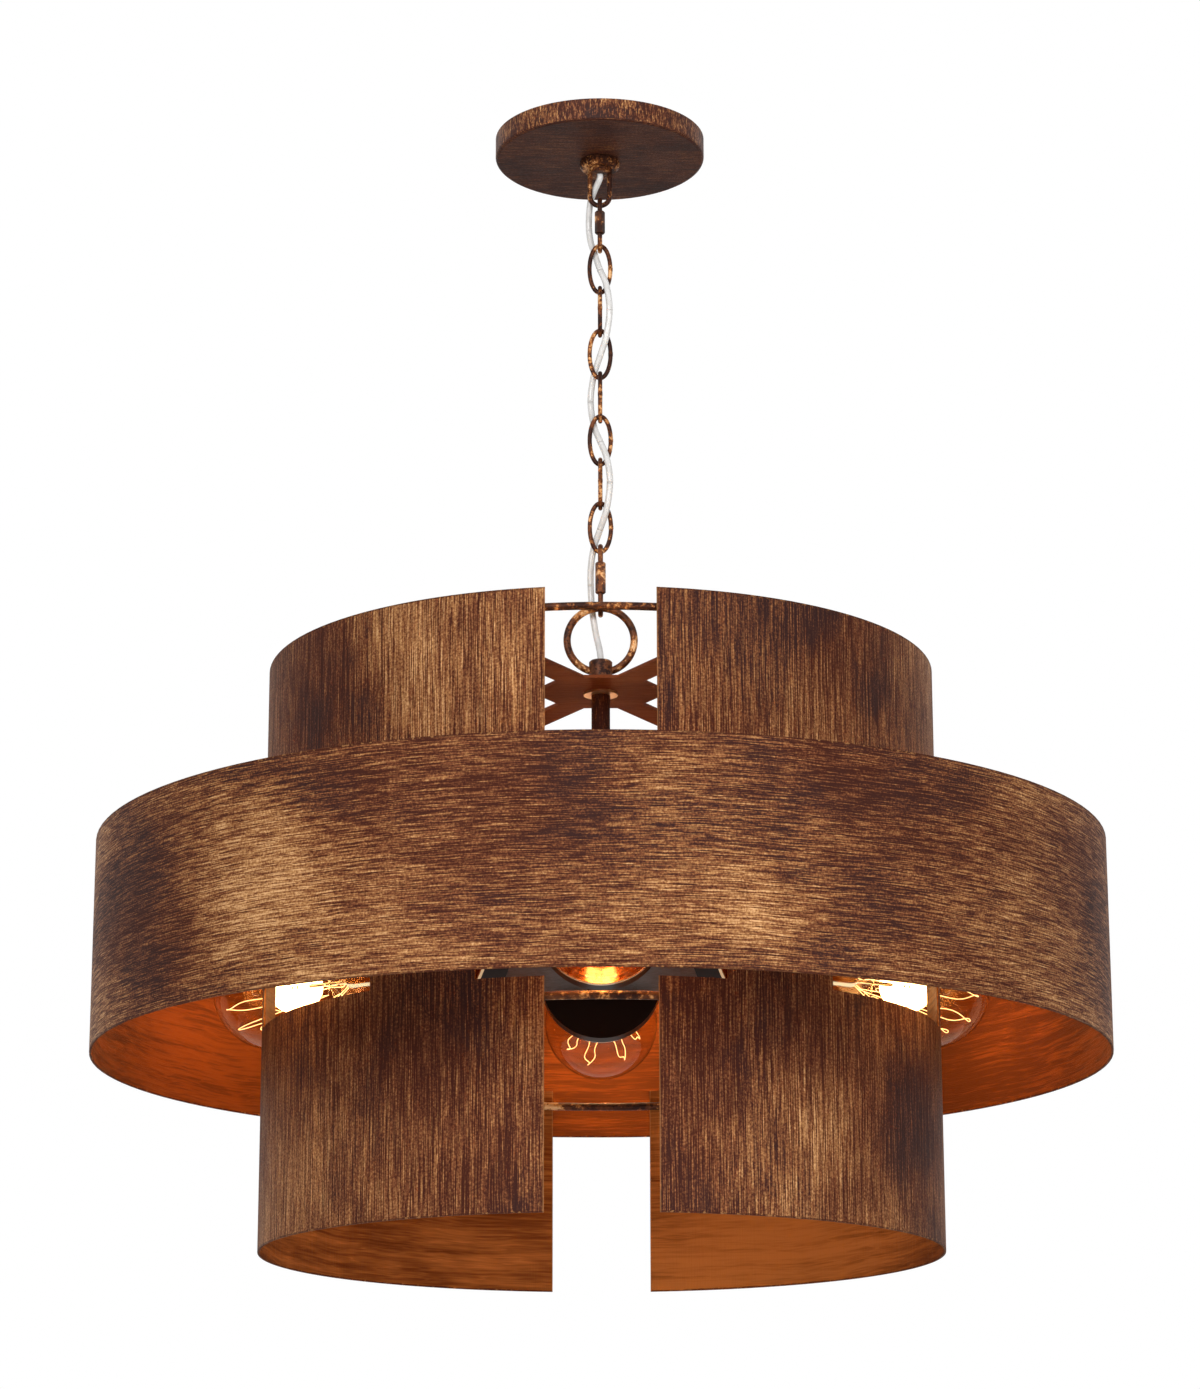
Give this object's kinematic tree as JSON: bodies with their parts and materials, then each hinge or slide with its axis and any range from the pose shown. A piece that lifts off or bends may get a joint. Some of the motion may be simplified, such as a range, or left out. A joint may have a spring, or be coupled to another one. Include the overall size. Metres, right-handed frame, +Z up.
{
  "type": "pendant light",
  "caption": "Chain-hung pendant light: two half-round inner panels inside a wide round drum, with clear lamps reaching out between them.",
  "frame": {"origin": "centre of the mounting bar's upper face, in the ceiling plane", "axes": "+Z up into the ceiling, -Y towards the viewer of the picture (the front gap between the panels), X along the mounting bar"},
  "size_m": [0.6096, 0.6096, 0.7107],
  "materials": {
    "bronze_fittings": "hand-brushed bronze paint, satin",
    "bronze_chain": "bronze paint rubbed back on the high spots",
    "brushed_bronze_sheet": "dark bronze paint with golden brushed streaks, satin",
    "bronze_frame": "bronze paint, satin",
    "dark_metal": "near-black bronze paint, satin",
    "pale_copper": "bare pale copper",
    "copper_cup": "gloss copper inside, black outside",
    "porcelain": "glazed white",
    "brass": "plain",
    "zinc_steel": "zinc plated",
    "earth_green": "green plated",
    "clear_cord": "clear jacket over white wires",
    "clear_glass": "clear",
    "filament": "glowing filament on a glass mount"
  },
  "bodies": {
    "ceiling_mount": {"mounting_bar": "zinc_steel", "nipple": "brass", "bar_locknut": "zinc_steel", "ground_screw": "earth_green", "collar_loop": "bronze_fittings"},
    "canopy": {"canopy": "bronze_fittings", "collar_nut": "bronze_fittings"},
    "upper_link": {"upper_quick_link": "bronze_chain"},
    "upper_nut": {"upper_link_nut": "bronze_chain"},
    "link_1": {"chain_link_1": "bronze_chain"},
    "link_2": {"chain_link_2": "bronze_chain"},
    "link_3": {"chain_link_3": "bronze_chain"},
    "link_4": {"chain_link_4": "bronze_chain"},
    "link_5": {"chain_link_5": "bronze_chain"},
    "link_6": {"chain_link_6": "bronze_chain"},
    "link_7": {"chain_link_7": "bronze_chain"},
    "lower_link": {"lower_quick_link": "bronze_chain"},
    "lower_nut": {"lower_link_nut": "bronze_chain"},
    "fixture": {"cord": "clear_cord", "hanging_ring": "bronze_fittings", "hub_collar": "bronze_fittings", "upper_spider": "bronze_frame", "stem_washer": "pale_copper", "stem": "dark_metal", "stem_locknuts": "dark_metal", "upper_hoop": "bronze_frame", "left_panel": "brushed_bronze_sheet", "right_panel": "brushed_bronze_sheet", "lower_hoop": "bronze_frame", "lower_spider": "bronze_frame", "outer_drum": "brushed_bronze_sheet", "canister": "dark_metal", "canister_cover": "dark_metal", "cap_nut": "dark_metal", "lamp_cups": "copper_cup", "lampholders": "porcelain", "lampholder_contacts": "brass"},
    "bulb_1": {"bulb_1_glass": "clear_glass", "bulb_1_base": "brass", "bulb_1_filament": "filament"},
    "bulb_2": {"bulb_2_glass": "clear_glass", "bulb_2_base": "brass", "bulb_2_filament": "filament"},
    "bulb_3": {"bulb_3_glass": "clear_glass", "bulb_3_base": "brass", "bulb_3_filament": "filament"},
    "bulb_4": {"bulb_4_glass": "clear_glass", "bulb_4_base": "brass", "bulb_4_filament": "filament"},
    "bulb_5": {"bulb_5_glass": "clear_glass", "bulb_5_base": "brass", "bulb_5_filament": "filament"},
    "bulb_6": {"bulb_6_glass": "clear_glass", "bulb_6_base": "brass", "bulb_6_filament": "filament"}
  },
  "joints": [
    {"name": "canopy_slide", "type": "slide", "parent": "ceiling_mount", "child": "canopy", "axis": [0, 0, 1], "range_m": [-0.018, 0]},
    {"name": "upper_link_swing", "type": "hinge", "parent": "ceiling_mount", "child": "upper_link", "pos_m": [0, 0, -0.0446], "axis": [1, 0, 0], "range_deg": [-12, 12]},
    {"name": "upper_nut_travel", "type": "slide", "parent": "upper_link", "child": "upper_nut", "axis": [0, 0, 1], "range_m": [-0.004, 0]},
    {"name": "link_1_swing", "type": "hinge", "parent": "upper_link", "child": "link_1", "pos_m": [0, 0, -0.0752], "axis": [0, 1, 0], "range_deg": [-12, 12], "deforming": ["cord"]},
    {"name": "link_2_swing", "type": "hinge", "parent": "link_1", "child": "link_2", "pos_m": [0, 0, -0.1037], "axis": [1, 0, 0], "range_deg": [-12, 12]},
    {"name": "link_3_swing", "type": "hinge", "parent": "link_2", "child": "link_3", "pos_m": [0, 0, -0.1323], "axis": [0, 1, 0], "range_deg": [-12, 12]},
    {"name": "link_4_swing", "type": "hinge", "parent": "link_3", "child": "link_4", "pos_m": [0, 0, -0.1609], "axis": [1, 0, 0], "range_deg": [-12, 12]},
    {"name": "link_5_swing", "type": "hinge", "parent": "link_4", "child": "link_5", "pos_m": [0, 0, -0.1895], "axis": [0, 1, 0], "range_deg": [-12, 12]},
    {"name": "link_6_swing", "type": "hinge", "parent": "link_5", "child": "link_6", "pos_m": [0, 0, -0.2181], "axis": [1, 0, 0], "range_deg": [-12, 12]},
    {"name": "link_7_swing", "type": "hinge", "parent": "link_6", "child": "link_7", "pos_m": [0, 0, -0.2467], "axis": [0, 1, 0], "range_deg": [-12, 12]},
    {"name": "lower_link_swing", "type": "hinge", "parent": "link_7", "child": "lower_link", "pos_m": [0, 0, -0.2753], "axis": [1, 0, 0], "range_deg": [-12, 12]},
    {"name": "lower_nut_travel", "type": "slide", "parent": "lower_link", "child": "lower_nut", "axis": [0, 0, 1], "range_m": [-0.005, 0]},
    {"name": "fixture_swing", "type": "hinge", "parent": "lower_link", "child": "fixture", "pos_m": [0, 0, -0.3158], "axis": [0, 1, 0], "range_deg": [-12, 12]},
    {"name": "bulb_1_unscrew", "type": "slide", "parent": "fixture", "child": "bulb_1", "axis": [0, -1, 0], "range_m": [0, 0.02]},
    {"name": "bulb_2_unscrew", "type": "slide", "parent": "fixture", "child": "bulb_2", "axis": [0.866, -0.5, 0], "range_m": [0, 0.02]},
    {"name": "bulb_3_unscrew", "type": "slide", "parent": "fixture", "child": "bulb_3", "axis": [0.866, 0.5, 0], "range_m": [0, 0.02]},
    {"name": "bulb_4_unscrew", "type": "slide", "parent": "fixture", "child": "bulb_4", "axis": [0, 1, 0], "range_m": [0, 0.02]},
    {"name": "bulb_5_unscrew", "type": "slide", "parent": "fixture", "child": "bulb_5", "axis": [-0.866, 0.5, 0], "range_m": [0, 0.02]},
    {"name": "bulb_6_unscrew", "type": "slide", "parent": "fixture", "child": "bulb_6", "axis": [-0.866, -0.5, 0], "range_m": [0, 0.02]}
  ]
}
